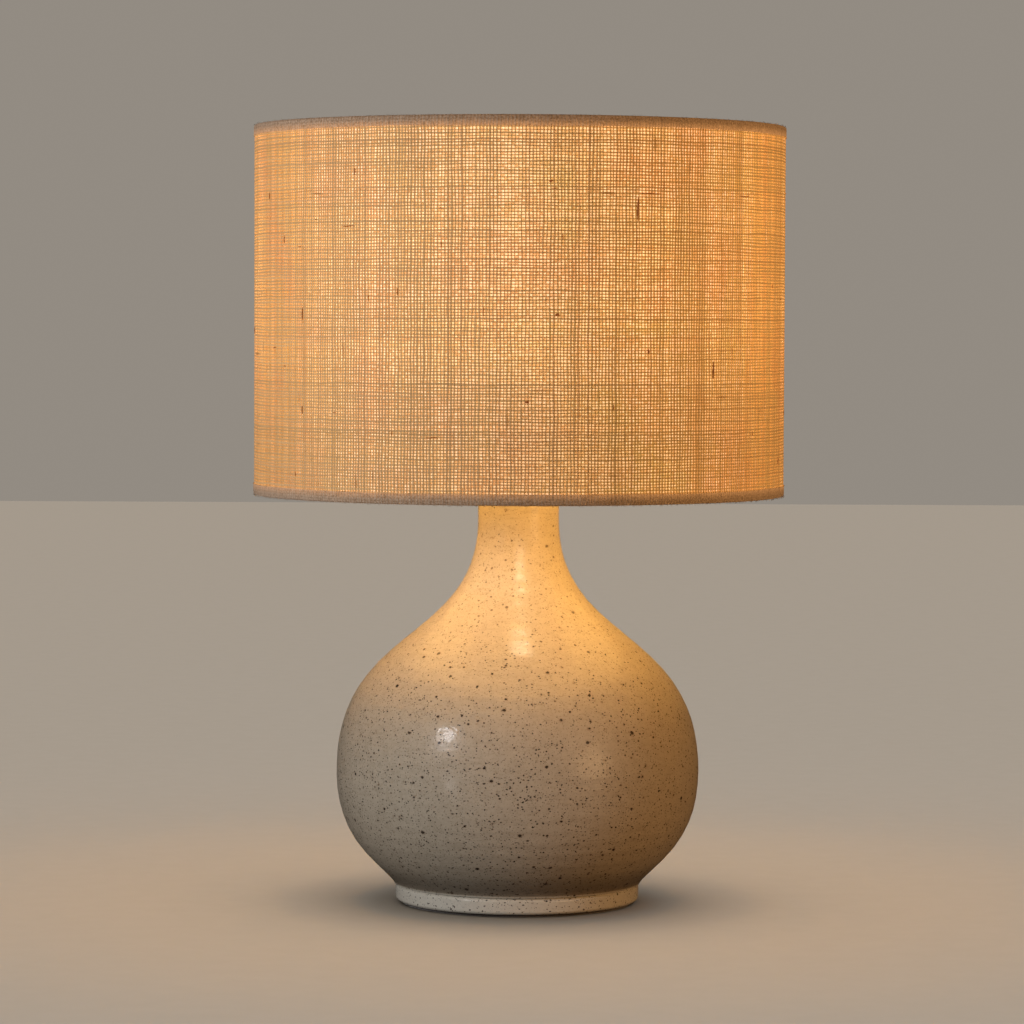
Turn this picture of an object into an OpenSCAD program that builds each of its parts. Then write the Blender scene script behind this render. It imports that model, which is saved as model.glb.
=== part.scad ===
// Table lamp with a drum shade. A hollow stoneware vessel is clamped on a threaded rod, which carries
// a keyed lamp socket and a harp. The shade hangs on the harp by its spider and is held by a finial.
// Millimetres, +Z up, origin at the centre of the foot on the table, front towards -Y.

/* [Vessel] */
// Radius of the belly at its widest
belly_r = 122.3; // [119:0.1:125]
// Height of the widest point
belly_z = 89; // [86:0.5:92]
// Radius of the neck at its narrowest
neck_r = 27.1; // [26.5:0.1:29]
// Height of the narrowest point of the neck
neck_z = 258; // [254:1:262]
// Height of the lip
lip_z = 300; // [296:1:304]
// Radius of the foot ring
foot_r = 82; // [80:0.5:83]
// Height of the foot ring's shoulder
foot_h = 13; // [12:0.5:15]
// Thickness of the fired wall
wall = 6.5; // [5.5:0.1:7]
// Thickness of the felt pad
pad_t = 1.5; // [1:0.1:2]

/* [Cord outlet] */
// Radius of the grommet's bore, for a 6 mm cord
cord_r = 3.1; // [2.8:0.1:3.2]

/* [Rod and socket] */
// Radius of the threaded rod
rod_r = 5; // [4.8:0.05:5]
// Radius of the rod's wire way
rod_bore_r = 3.6; // [3:0.1:3.8]
// Radius of the socket shell
shell_r = 16.2; // [16:0.1:17]
// Pitch of the lamp thread
thread_p = 3.63; // [3.6:0.01:3.66]

/* [Harp] */
// Height of the harp from its saddle to its seat
harp_h = 190.5; // [188:0.5:194]
// Half of the harp's width
harp_w = 52; // [48:0.5:54]
// Radius of the harp's wire
harp_wire_r = 1.6; // [1.4:0.1:1.8]

/* [Shade] */
// Radius of the shade's cloth
shade_r = 177.8; // [174:0.1:180]
// Height of the shade over its hems
shade_h = 246.3; // [240:0.1:252]
// Drop from the shade's upper edge to the spider's seat
recess = 24.7; // [22:0.1:28]
// Thickness of the cloth
cloth_t = 0.8; // [0.6:0.1:1]
// Height of each hem
hem_h = 7; // [6:0.5:9]
// Radius of the two shade wires
ring_wire_r = 2; // [1.8:0.1:2.2]

/* [Hidden] */
$fn = 96;
eps = 0.01;

// Clearances: loose parts on the rod, parts that run on each other, and the lamp thread
slack = 0.1;
running = 0.05;
thread_gap = 0.35;

// Foot: the groove above the ring, the recess under the floor and the floor itself
groove_r = foot_r - 1.2;
body_foot_r = foot_r + 0.8;
foot_round = 3;
recess_r = foot_r - 10;
floor_z = foot_h + 7;
rod_hole_r = rod_r + 1.5;

// The vessel's outline is two Bezier curves, belly and shoulder, and a flared lip. Their handles:
foot_lean = 26;
foot_handle = 13.7;
belly_low_handle = 52;
belly_high_handle = 99;
neck_handle = 85;
lip_r = neck_r + 1.4;

// Cord outlet, at the back of the foot ring
cord_z = (pad_t + foot_h) / 2;
grommet_r = cord_r + 1.2;
grommet_flange_r = cord_r + 2.1;
grommet_flange_t = 1.2;

// Lower end of the rod, from the floor down: two washers, a split washer and a nut
rubber_r = 18;
rubber_t = 1.5;
steel_r = 16;
steel_t = 1.6;
lock_r = 9.2;
lock_t = 1;
lock_split = 1;
nut_t = 5;
nut_af = 16;
rubber_z = foot_h - rubber_t;
steel_z = rubber_z - steel_t;
lock_z = steel_z - lock_t;
base_nut_z = lock_z - nut_t;
rod_z = base_nut_z - 1;

// Upper end of the rod, from the lip up
gasket_t = 1;
cap_t = 1.2;
cap_r = lip_r + 1.4;
cap_skirt = 4;
neck_nut_t = 4;
saddle_t = 1.6;
cap_z = lip_z + gasket_t;
neck_nut_z = cap_z + cap_t;
saddle_z = neck_nut_z + neck_nut_t;
socket_z = saddle_z + saddle_t;
rod_top_z = socket_z + 10;

// Socket
hub_h = 11;
hub_r = 7.5;
hub_screw_z = 4;
hub_screw_r = 1.4;
cup_z = socket_z + hub_h;
cup_h = 9;
shell_z = cup_z + cup_h;
shell_h = 38;
shell_t = 0.6;
bead_r = 0.7;
slot_w = 6.4;
liner_t = 0.8;
liner_r = shell_r - shell_t - 0.1;
insulator_r = liner_r - liner_t - 0.3;
insulator_z = cup_z + 3.5;
insulator_h = 18;
thread_z = insulator_z + insulator_h;
female_h = 23;
thread_r = 12.7;
thread_a = 0.5;
thread_sides = 24;
screw_shell_r = thread_r + thread_a + thread_gap + 0.45;
contact_z = thread_z + 0.2;
terminal_cut = 3;
key_z = insulator_z + 9;
key_r = 1.5;
key_y = shell_r + 14;
key_tail = 2;
knob_boss_h = 9;

// Bulb, standing on the centre contact
tip_z = contact_z + 2.8;
tip_h = 1.6;
tip_stem_r = 1.8;
bulb_h = 108;
bulb_r = 30;
base_z = tip_z + 3.2;
base_h = 21;
ball_z = tip_z + bulb_h - bulb_r;
glass_z = base_z + base_h - 3;
glass_neck_r = 11.2;
glass_t = 1;
filament_r = 0.8;
filament_h = 32;

// Harp: a straight foot, a bow out to its widest point, and a shoulder in to the seat
arm_x = 27;
arm_h = 14;
arm_wire_r = 1.6;
seat_z = saddle_z + harp_h;
leg_z = saddle_z + arm_h + 12;
wide_z = leg_z + 0.52 * (seat_z - leg_z);
foot_handle_up = 34;
wide_handle = 42;
shoulder_handle = 52;
seat_handle = 34;
ferrule_h = 10;
ferrule_r = 3.2;
ferrule_z = saddle_z + 8.6;

// Stud, shade spider and finial
seat_r = 8;
stud_r = 3.1;
stud_h = 13;
hub_t = 2;
spider_hub_r = 10;
hub_z = seat_z + 1.2;
arm_r = 1.6;
spider_angles = [90, 210, 330];
finial_z = hub_z + hub_t + 0.3;
insert_r = 5;
insert_h = 12;
insert_flange_r = 7.5;
insert_flange_t = 1.6;
finial_h = 20;

// Shade
shade_top = seat_z + recess;
shade_z = shade_top - shade_h;
hem_t = 0.4;
cloth_inner_r = shade_r - cloth_t;
liner_outer_r = cloth_inner_r - 0.1;
shade_liner_t = 0.5;
ring_r = liner_outer_r - shade_liner_t - 0.2 - ring_wire_r;
spider_reach = ring_r - 34;

module tube(r, bore, h) {
    difference() {
        cylinder(r = r, h = h);
        translate([0, 0, -1]) cylinder(r = bore, h = h + 2);
    }
}

module torus(r, wire) {
    rotate_extrude() translate([r, 0]) circle(r = wire, $fn = 32);
}

module hex_nut(across_flats, bore, h) {
    difference() {
        intersection() {
            cylinder(r = across_flats / sqrt(3), h = h, $fn = 6);
            cylinder(r = across_flats * 0.56, h = h);
        }
        translate([0, 0, -1]) cylinder(r = bore, h = h + 2);
    }
}

// A round wire along a path of [x, z] points
module wire(path, r, sides = 12) {
    last = len(path) - 1;
    rings = [
        for (i = [0 : last])
            let (run = path[min(i + 1, last)] - path[max(i - 1, 0)], across = [-run[1], run[0]] / norm(run))
            for (j = [0 : sides - 1])
                let (p = path[i] + r * cos(360 * j / sides) * across)
                [p[0], r * sin(360 * j / sides), p[1]]
    ];
    polyhedron(points = rings, faces = concat(
        [[for (j = [sides - 1 : -1 : 0]) j]],
        [[for (j = [0 : sides - 1]) last * sides + j]],
        [for (i = [0 : last - 1], j = [0 : sides - 1])
            let (k = (j + 1) % sides)
            [i * sides + j, i * sides + k, (i + 1) * sides + k, (i + 1) * sides + j]]
    ));
}

// A closed ring of metal whose section is a loop of [z, r, wave] points, anticlockwise with z up.
// Where wave isn't 0, the radius swings by it once round the axis and once up each thread pitch.
module threaded_ring(section) {
    count = len(section);
    points = [
        for (p = section, j = [0 : thread_sides - 1])
            let (a = 360 * j / thread_sides, r = p[1] + p[2] * cos(a - 360 * (p[0] - thread_z) / thread_p))
            [r * cos(a), r * sin(a), p[0]]
    ];
    polyhedron(points = points, faces = [
        for (i = [0 : count - 1], j = [0 : thread_sides - 1])
            let (next = (i + 1) % count, k = (j + 1) % thread_sides)
            [i * thread_sides + j, next * thread_sides + j, next * thread_sides + k, i * thread_sides + k]
    ]);
}

// The threaded stretch of such a loop, from one height to another
function thread_run(z0, z1, r) =
    let (steps = ceil(6 * abs(z1 - z0) / thread_p))
    [for (i = [0 : steps]) [z0 + (z1 - z0) * i / steps, r, thread_a]];

function bezier(p, t) =
    pow(1 - t, 3) * p[0] + 3 * pow(1 - t, 2) * t * p[1] + 3 * (1 - t) * t * t * p[2] + pow(t, 3) * p[3];

function curve(p, n) = [for (i = [0 : n]) bezier(p, i / n)];

function rounded(centre, r, a0, a1, n) =
    [for (i = [0 : n]) centre + r * [cos(a0 + (a1 - a0) * i / n), sin(a0 + (a1 - a0) * i / n)]];

// Belly, shoulder and lip, from the groove above the foot ring to the mouth
function vessel_side() = concat(
    curve([
        [body_foot_r, foot_h],
        [body_foot_r + foot_handle * sin(foot_lean), foot_h + foot_handle * cos(foot_lean)],
        [belly_r, belly_z - belly_low_handle],
        [belly_r, belly_z]
    ], 16),
    [for (p = curve([
        [belly_r, belly_z],
        [belly_r, belly_z + belly_high_handle],
        [neck_r, neck_z - neck_handle],
        [neck_r, neck_z]
    ], 28)) if (p[1] > belly_z) p],
    [for (p = curve([
        [neck_r, neck_z],
        [neck_r, neck_z + 14],
        [lip_r - 0.2, lip_z - 16],
        [lip_r, lip_z]
    ], 6)) if (p[1] > neck_z) p]
);

// An outline moved inwards by a distance, square to each stretch
function inset(pts, d) = [
    for (i = [0 : len(pts) - 1])
        let (run = pts[min(i + 1, len(pts) - 1)] - pts[max(i - 1, 0)])
        pts[i] + d * [-run[1], run[0]] / norm(run)
];

module ceramic_body() {
    side = vessel_side();
    cavity = [for (p = inset(side, wall)) if (p[1] > floor_z && p[1] < lip_z - 1) p];
    foot = concat(
        [[recess_r, pad_t]],
        rounded([foot_r - foot_round, pad_t + foot_round], foot_round, -90, -15, 5),
        [[foot_r, pad_t + 6.5]],
        rounded([foot_r - 1.5, foot_h - 2.6], 1.5, 0, 70, 3),
        [[groove_r - 0.4, foot_h - 0.6]]
    );
    color("#d8cfbf") difference() {
        rotate_extrude($fn = 128)
            polygon(concat([[0, foot_h], [recess_r, foot_h]], foot, side, [[0, lip_z]]));
        rotate_extrude($fn = 128) polygon(concat(
            [[0, floor_z], [cavity[0][0] - 2, floor_z]],
            cavity,
            [[lip_r - wall, lip_z + 1], [0, lip_z + 1]]
        ));
        cylinder(r = rod_hole_r, h = floor_z + 1);
        translate([0, 0, cord_z]) rotate([-90, 0, 0]) cylinder(r = grommet_r + slack, h = foot_r + 2);
    }
}

module felt_pad() {
    color("#2b2622") cylinder(r = foot_r - foot_round - 1, h = pad_t);
}

module cord_grommet() {
    inner_y = recess_r - grommet_flange_t - 0.3;
    outer_y = foot_r + 0.1;
    color("#1c1a19") translate([0, inner_y, cord_z]) rotate([-90, 0, 0]) difference() {
        union() {
            cylinder(r = grommet_r, h = outer_y - inner_y + grommet_flange_t, $fn = 48);
            cylinder(r = grommet_flange_r, h = grommet_flange_t, $fn = 48);
            translate([0, 0, outer_y - inner_y])
                cylinder(r = grommet_flange_r, h = grommet_flange_t, $fn = 48);
        }
        translate([0, 0, -1]) cylinder(r = cord_r, h = outer_y - inner_y + grommet_flange_t + 2, $fn = 48);
    }
}

module lamp_rod() {
    color("#b9a878") translate([0, 0, rod_z]) tube(rod_r, rod_bore_r, rod_top_z - rod_z);
}

module base_rubber_washer() {
    color("#232323") translate([0, 0, rubber_z]) tube(rubber_r, rod_r + slack, rubber_t);
}

module base_steel_washer() {
    color("#a9abad") translate([0, 0, steel_z]) tube(steel_r, rod_r + slack, steel_t);
}

module base_lock_washer() {
    color("#8f9193") translate([0, 0, lock_z]) difference() {
        tube(lock_r, rod_r + slack, lock_t);
        translate([0, -lock_split / 2, -1]) cube([lock_r + 1, lock_split, lock_t + 2]);
    }
}

module base_nut() {
    color("#a9abad") translate([0, 0, base_nut_z]) hex_nut(nut_af, rod_r + slack, nut_t);
}

module neck_gasket() {
    color("#232323") translate([0, 0, lip_z]) tube(lip_r - 1, rod_r + 4, gasket_t);
}

module neck_cap() {
    color("#b08d4f") translate([0, 0, cap_z]) difference() {
        rotate_extrude() polygon(concat(
            [[0, 0], [lip_r + 0.4, 0], [lip_r + 0.4, -cap_skirt], [cap_r, -cap_skirt]],
            rounded([cap_r - cap_t, 0], cap_t, 0, 90, 6),
            [[0, cap_t]]
        ));
        translate([0, 0, -1]) cylinder(r = rod_r + slack, h = cap_t + 2);
    }
}

module neck_nut() {
    color("#b08d4f") translate([0, 0, neck_nut_z]) hex_nut(nut_af, rod_r + slack, neck_nut_t);
}

// Plate with two upright arms that the harp's feet stand on
module harp_saddle() {
    bend_r = 4;
    width = 12;
    lug_h = 3;
    bend_x = arm_x + saddle_t / 2 - bend_r;
    color("#b08d4f") difference() {
        union() {
            translate([-bend_x, -width / 2, saddle_z]) cube([2 * bend_x, width, saddle_t]);
            for (side = [0, 180]) rotate([0, 0, side]) {
                translate([bend_x, 0, saddle_z + bend_r]) rotate([90, 0, 0]) rotate([0, 0, -90])
                    rotate_extrude(angle = 90)
                    translate([bend_r - saddle_t, -width / 2]) square([saddle_t, width]);
                translate([arm_x - saddle_t / 2, -width / 2, saddle_z + bend_r]) cube([saddle_t, width, lug_h]);
                translate([arm_x, 0, saddle_z + bend_r + lug_h - 1])
                    cylinder(r = arm_wire_r, h = arm_h - bend_r - lug_h + 1, $fn = 32);
            }
        }
        translate([0, 0, saddle_z - 1]) cylinder(r = rod_r + slack, h = saddle_t + 2);
    }
}

// Threaded hub that widens into the cup under the shell
module socket_cap() {
    color("#b08d4f") translate([0, 0, socket_z]) difference() {
        rotate_extrude() polygon(concat(
            [[0, 0], [hub_r, 0], [hub_r, hub_h - 3]],
            [for (p = curve([[hub_r, hub_h - 3], [hub_r + 1, hub_h + 1], [shell_r, hub_h - 2],
                [shell_r, hub_h + 4]], 10)) if (p[0] > hub_r) p],
            [[shell_r, hub_h + cup_h]],
            [[shell_r - 0.8, hub_h + cup_h], [shell_r - 0.8, hub_h + 4]],
            [[shell_r - 4, hub_h + 0.8], [0, hub_h + 0.8]]
        ));
        translate([0, 0, -1]) cylinder(r = rod_r + slack, h = hub_h + 4);
        translate([0, 0, hub_screw_z]) rotate([0, 90, 0])
            cylinder(r = hub_screw_r + slack, h = hub_r + 2, $fn = 32);
    }
}

module socket_cap_screw() {
    shank_h = 2.6;
    head_r = 2.6;
    head_h = 1.6;
    cut_w = 0.7;
    color("#a9abad") translate([rod_r + 0.2, 0, socket_z + hub_screw_z]) rotate([0, 90, 0]) difference() {
        union() {
            cylinder(r = hub_screw_r, h = shank_h, $fn = 32);
            translate([0, 0, shank_h]) cylinder(r = head_r, h = head_h, $fn = 32);
        }
        translate([-head_r - 1, -cut_w / 2, shank_h + head_h - cut_w]) cube([2 * head_r + 2, cut_w, 1]);
    }
}

module socket_shell() {
    color("#b08d4f") translate([0, 0, shell_z]) difference() {
        union() {
            cylinder(r = shell_r, h = shell_h);
            for (z = [4, 7, shell_h - 1.5]) translate([0, 0, z]) torus(shell_r - 0.2, bead_r);
        }
        translate([0, 0, -1]) cylinder(r = shell_r - shell_t, h = shell_h + 2);
        translate([0, 0, key_z - shell_z]) rotate([90, 0, 0])
            cylinder(r = slot_w / 2, h = shell_r + 3, $fn = 48);
        translate([-slot_w / 2, -shell_r - 3, -1]) cube([slot_w, 10, key_z - shell_z + 1]);
    }
}

module socket_liner() {
    color("#8a6f4d") translate([0, 0, shell_z + 0.5]) difference() {
        tube(liner_r, liner_r - liner_t, shell_h - 3);
        translate([-slot_w / 2, -shell_r - 3, -1]) cube([slot_w, 10, key_z - shell_z + 4]);
    }
}

// Moulded switch body under the screw shell, with a seat for each terminal screw
module socket_body() {
    color("#e6e0d2") difference() {
        translate([0, 0, insulator_z]) cylinder(r = insulator_r, h = insulator_h);
        translate([0, 0, key_z]) rotate([90, 0, 0])
            cylinder(r = key_r + running, h = insulator_r + 2, $fn = 32);
        for (side = [0, 180]) rotate([0, 0, side])
            translate([insulator_r - terminal_cut, -4, insulator_z - 1]) cube([5, 8, 12]);
    }
}

module screw_shell() {
    top_z = thread_z + female_h;
    color("#c9b27a") threaded_ring(concat(
        [[thread_z, screw_shell_r, 0], [top_z, screw_shell_r, 0]],
        thread_run(top_z, thread_z, thread_r + thread_gap)
    ));
}

module centre_contact() {
    color("#c9b27a") translate([0, 0, contact_z - 0.1]) {
        cylinder(r = 5, h = 0.6);
        cylinder(r = 3.2, h = tip_z - contact_z);
    }
}

module terminal_screws() {
    for (side = [0, 180])
        color(side == 0 ? "#b08d4f" : "#c4c6c8") rotate([0, 0, side])
            translate([insulator_r - terminal_cut + slack, 0, insulator_z + 6]) rotate([0, 90, 0]) difference() {
                cylinder(r = 3, h = 1.8, $fn = 32);
                translate([-4, -0.4, 1.2]) cube([8, 0.8, 1]);
            }
}

module switch_shaft() {
    shaft_h = key_y - key_tail - knob_boss_h / 2 + 0.5;
    color("#b08d4f") translate([0, -key_tail, key_z]) rotate([90, 0, 0])
        cylinder(r = key_r, h = shaft_h, $fn = 32);
}

// Flat ribbed key on a round boss
module switch_knob() {
    boss_r = 4;
    half_h = knob_boss_h / 2;
    grip_w = 22;
    grip_t = 3.4;
    rib_r = 0.7;
    color("#2a2420") translate([0, -key_y + knob_boss_h, key_z]) rotate([90, 0, 0]) difference() {
        union() {
            cylinder(r = boss_r, h = knob_boss_h, $fn = 48);
            translate([0, 0, half_h]) rotate([0, 0, 90])
                linear_extrude(height = knob_boss_h) difference() {
                square([grip_w, grip_t], center = true);
                for (x = [-9, -7, 7, 9], y = [-2, 2]) translate([x, y]) circle(r = rib_r, $fn = 16);
            }
        }
        translate([0, 0, -1]) cylinder(r = key_r + running, h = 1 + half_h + 1.5, $fn = 32);
    }
}

// Outline of the bulb's glass: neck, swelling shoulder and round crown, inset by a distance
function bulb_side(d) = concat(
    [[glass_neck_r - d, glass_z]],
    curve([
        [glass_neck_r - d, glass_z + 6],
        [glass_neck_r - d, glass_z + 22],
        [bulb_r - d, ball_z - 24],
        [bulb_r - d, ball_z]
    ], 18),
    [for (i = [1 : 15]) [(bulb_r - d) * cos(6 * i), ball_z + (bulb_r - d) * sin(6 * i)]]
);

module bulb_glass() {
    color("#fff1d6") rotate_extrude() difference() {
        polygon(concat([[0, glass_z]], bulb_side(0), [[0, ball_z + bulb_r]]));
        polygon(concat([[0, glass_z - 1], [glass_neck_r - glass_t, glass_z - 1]], bulb_side(glass_t),
            [[0, ball_z + bulb_r - glass_t]]));
    }
}

// Glass stem with a flared foot sealed into the neck
module bulb_stem() {
    color("#f4f6f6") {
        translate([0, 0, glass_z + 1]) cylinder(r1 = glass_neck_r - glass_t - 0.4, r2 = 3, h = 9);
        translate([0, 0, glass_z + 10]) cylinder(r = 3, h = ball_z - glass_z - 22, $fn = 32);
    }
}

module bulb_filaments() {
    color("#ffb347") for (a = [45 : 90 : 315]) rotate([0, 0, a]) translate([7, 0, ball_z - 20])
        rotate([0, 8, 0]) cylinder(r = filament_r, h = filament_h, $fn = 24);
}

// Threaded shell with a plain rim crimped round the glass
module bulb_base() {
    rim_z = base_z + base_h - 3;
    rim_r = thread_r + thread_a;
    bore_r = thread_r - thread_a - 0.7;
    color("#b9bcc0") threaded_ring(concat(
        thread_run(base_z, rim_z - 0.7, thread_r),
        [[rim_z, rim_r, 0], [base_z + base_h, rim_r, 0], [base_z + base_h, bore_r, 0], [base_z, bore_r, 0]]
    ));
}

module bulb_insulator() {
    cone_h = base_z - tip_z - tip_h - slack;
    plug_r = thread_r - thread_a - 1;
    color("#1f1d26") translate([0, 0, base_z - cone_h]) difference() {
        union() {
            cylinder(r1 = 5.5, r2 = plug_r, h = cone_h);
            translate([0, 0, cone_h]) cylinder(r = plug_r, h = 1.5);
        }
        translate([0, 0, -1]) cylinder(r = tip_stem_r + 2 * slack, h = cone_h + 4, $fn = 32);
    }
}

module bulb_tip() {
    color("#c9ccd0") {
        translate([0, 0, tip_z]) cylinder(r1 = 3.6, r2 = 4.6, h = tip_h, $fn = 48);
        translate([0, 0, tip_z + tip_h - eps]) cylinder(r = tip_stem_r, h = 4, $fn = 32);
    }
}

// Half of the harp's path, from the foot of a leg to the middle of the seat
function harp_leg() = concat(
    [[arm_x, saddle_z + arm_h + 0.2]],
    curve([
        [arm_x, leg_z],
        [arm_x, leg_z + foot_handle_up],
        [harp_w, wide_z - wide_handle],
        [harp_w, wide_z]
    ], 14),
    [for (p = curve([
        [harp_w, wide_z],
        [harp_w, wide_z + shoulder_handle],
        [seat_handle, seat_z - harp_wire_r],
        [0, seat_z - harp_wire_r]
    ], 14)) if (p[1] > wide_z && p[0] > 0) p]
);

// Two legs that bow outwards round the bulb and meet under the seat
module harp_wire() {
    leg = harp_leg();
    color("#b08d4f")
        wire(concat(leg, [for (i = [len(leg) - 1 : -1 : 0]) [-leg[i][0], leg[i][1]]]), harp_wire_r);
}

// Seat and threaded stud, clamped round the top of the wire
module harp_stud() {
    clamp_h = 2 * harp_wire_r + 0.5;
    color("#b08d4f") translate([0, 0, seat_z]) {
        translate([0, 0, -clamp_h]) cylinder(r = 4.5, h = clamp_h + 1, $fn = 48);
        cylinder(r = seat_r, h = 1, $fn = 48);
        cylinder(r = stud_r, h = stud_h, $fn = 48);
    }
}

// Sleeve that drops over the joint of a harp leg and a saddle arm
module harp_ferrule() {
    color("#c2a25e") translate([arm_x, 0, ferrule_z]) difference() {
        union() {
            cylinder(r = ferrule_r, h = ferrule_h, $fn = 48);
            for (z = [0.7, ferrule_h - 0.7]) translate([0, 0, z]) torus(ferrule_r, 0.6);
        }
        translate([0, 0, -1]) cylinder(r = harp_wire_r + slack, h = ferrule_h + 2, $fn = 48);
    }
}

module harp_ferrule_left() {
    rotate([0, 0, 180]) harp_ferrule();
}

module harp_ferrule_right() {
    harp_ferrule();
}

module spider_hub() {
    color("#b9bcc0") translate([0, 0, hub_z]) tube(spider_hub_r, stud_r + running, hub_t);
}

// Three arms, level from the hub and then bent up to the top wire
module spider_arms() {
    level_z = hub_z + hub_t / 2;
    bend_r = 12;
    run = ring_r - ring_wire_r * 0.6 - spider_reach;
    rise = shade_top - hem_t - ring_wire_r - 0.6 - level_z;
    slope = atan2(rise, run);
    bend_x = spider_reach - bend_r * tan(slope / 2);
    color("#b9bcc0") for (a = spider_angles) rotate([0, 0, a]) wire(concat(
        [[spider_hub_r - 1, level_z]],
        rounded([bend_x, level_z + bend_r], bend_r, -90, slope - 90, 5),
        [[spider_reach + run, level_z + rise]]
    ), arm_r);
}

module shade_wire(z) {
    color("#b9bcc0") translate([0, 0, z]) torus(ring_r, ring_wire_r);
}

module top_ring() {
    shade_wire(shade_top - hem_t - ring_wire_r - 0.2);
}

module bottom_ring() {
    shade_wire(shade_z + hem_t + ring_wire_r + 0.2);
}

module shade_liner() {
    color("#f6e7cf") translate([0, 0, shade_z + hem_t + 0.1])
        tube(liner_outer_r, liner_outer_r - shade_liner_t, shade_h - 2 * hem_t - 0.2, $fn = 180);
}

module shade_fabric() {
    color("#c9b394") translate([0, 0, shade_z + hem_t + 0.1])
        tube(shade_r, cloth_inner_r, shade_h - 2 * hem_t - 0.2, $fn = 180);
}

// A strip folded over the shade's edge: outer leg, edge and inner leg
module hem() {
    inner_r = ring_r - ring_wire_r - 0.2;
    outer_r = shade_r + 0.05;
    rotate_extrude($fn = 180) difference() {
        translate([inner_r - hem_t, 0]) square([outer_r + 2 * hem_t - inner_r, hem_h]);
        translate([inner_r, hem_t]) square([outer_r - inner_r, hem_h]);
    }
}

// The inner leg is slit where the spider's arms pass
module top_hem() {
    arm_slit = 2 * arm_r + 1.2;
    slit_depth = 3;
    color("#9c8a73") translate([0, 0, shade_top]) mirror([0, 0, 1]) difference() {
        hem();
        for (a = spider_angles) rotate([0, 0, a])
            translate([ring_r - ring_wire_r - slit_depth, -arm_slit / 2, hem_t])
            cube([slit_depth, arm_slit, hem_h]);
    }
}

module bottom_hem() {
    color("#9c8a73") translate([0, 0, shade_z]) hem();
}

module finial_insert() {
    color("#b08d4f") translate([0, 0, finial_z]) difference() {
        union() {
            cylinder(r = insert_r, h = insert_h, $fn = 48);
            cylinder(r = insert_flange_r, h = insert_flange_t, $fn = 48);
        }
        translate([0, 0, -1]) cylinder(r = stud_r + running, h = insert_h, $fn = 48);
    }
}

// Turned knob with a waist and a round head, pressed on the insert
module finial_knob() {
    ball_r = 7;
    collar_z = insert_flange_t + slack;
    ball_z = finial_h - collar_z - ball_r;
    color("#b08d4f") translate([0, 0, finial_z + collar_z]) difference() {
        rotate_extrude() polygon(concat(
            [[0, 0], [insert_flange_r, 0]],
            curve([[insert_flange_r, 0.8], [5, 2], [5.6, 3.4], [6.1, 5.2]], 8),
            [for (a = [-30 : 10 : 90]) [ball_r * cos(a), ball_z + ball_r * sin(a)]]
        ));
        translate([0, 0, -1])
            cylinder(r = insert_r + running, h = insert_h - collar_z + 2 * slack + 1, $fn = 48);
    }
}

ceramic_body();
felt_pad();
cord_grommet();
lamp_rod();
base_rubber_washer();
base_steel_washer();
base_lock_washer();
base_nut();
neck_gasket();
neck_cap();
neck_nut();
harp_saddle();
socket_cap();
socket_cap_screw();
socket_shell();
socket_liner();
socket_body();
screw_shell();
centre_contact();
terminal_screws();
switch_shaft();
switch_knob();
bulb_glass();
bulb_stem();
bulb_filaments();
bulb_base();
bulb_insulator();
bulb_tip();
harp_wire();
harp_stud();
harp_ferrule_left();
harp_ferrule_right();
spider_hub();
spider_arms();
top_ring();
bottom_ring();
shade_liner();
shade_fabric();
top_hem();
bottom_hem();
finial_insert();
finial_knob();
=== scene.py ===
"""Looks of the table lamp: speckled stoneware, a glowing linen drum shade and brass fittings, built
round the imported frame. Metres, +Z up, front towards -Y, origin at the centre of the foot."""

import math
import random
from collections import namedtuple

import bmesh
import bpy
import numpy as np
from mathutils import Matrix, Vector
from mathutils.bvhtree import BVHTree


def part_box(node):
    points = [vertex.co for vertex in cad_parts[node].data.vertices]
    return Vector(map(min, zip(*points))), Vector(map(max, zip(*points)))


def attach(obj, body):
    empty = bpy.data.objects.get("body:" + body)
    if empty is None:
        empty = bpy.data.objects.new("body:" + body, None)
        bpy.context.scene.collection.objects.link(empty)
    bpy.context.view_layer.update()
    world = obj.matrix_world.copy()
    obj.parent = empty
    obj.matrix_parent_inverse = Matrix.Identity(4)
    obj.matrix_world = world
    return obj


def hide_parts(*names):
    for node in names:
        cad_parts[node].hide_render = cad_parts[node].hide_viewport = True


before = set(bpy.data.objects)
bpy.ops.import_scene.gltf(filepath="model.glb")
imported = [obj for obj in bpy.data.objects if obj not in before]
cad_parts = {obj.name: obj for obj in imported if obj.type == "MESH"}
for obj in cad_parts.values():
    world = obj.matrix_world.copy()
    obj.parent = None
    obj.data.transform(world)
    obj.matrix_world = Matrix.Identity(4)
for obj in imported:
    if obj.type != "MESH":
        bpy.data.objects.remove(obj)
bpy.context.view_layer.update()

MM = 0.001

# Places read from the frame
vessel_low, vessel_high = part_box("ceramic_body")
felt_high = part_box("felt_pad")[1]
cloth_low, cloth_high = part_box("shade_fabric")
bulb_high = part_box("bulb_glass")[1]
grommet_low, grommet_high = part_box("cord_grommet")
CLOTH_R = cloth_high[0]
LINER_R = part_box("shade_liner")[1][0]
BULB_R = bulb_high[0]
BULB_Z = bulb_high[2] - BULB_R
HEM_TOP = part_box("top_hem")[1][2]
HEM_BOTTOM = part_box("bottom_hem")[0][2]
HEM_H = HEM_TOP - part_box("top_hem")[0][2]

# Vessel: wall, recess under it, floor, lip and holes, as in the CAD
WALL = 6.5 * MM
RECESS_R = 72 * MM
RECESS_Z = 13 * MM
RECESS_CORNER = 1.5 * MM
FLOOR_Z = 20 * MM
LIP_RISE = 1.2 * MM
ROD_HOLE_R = 6.5 * MM
CORD_HOLE_R = 4.4 * MM
VESSEL_SIDES = 256

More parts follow.
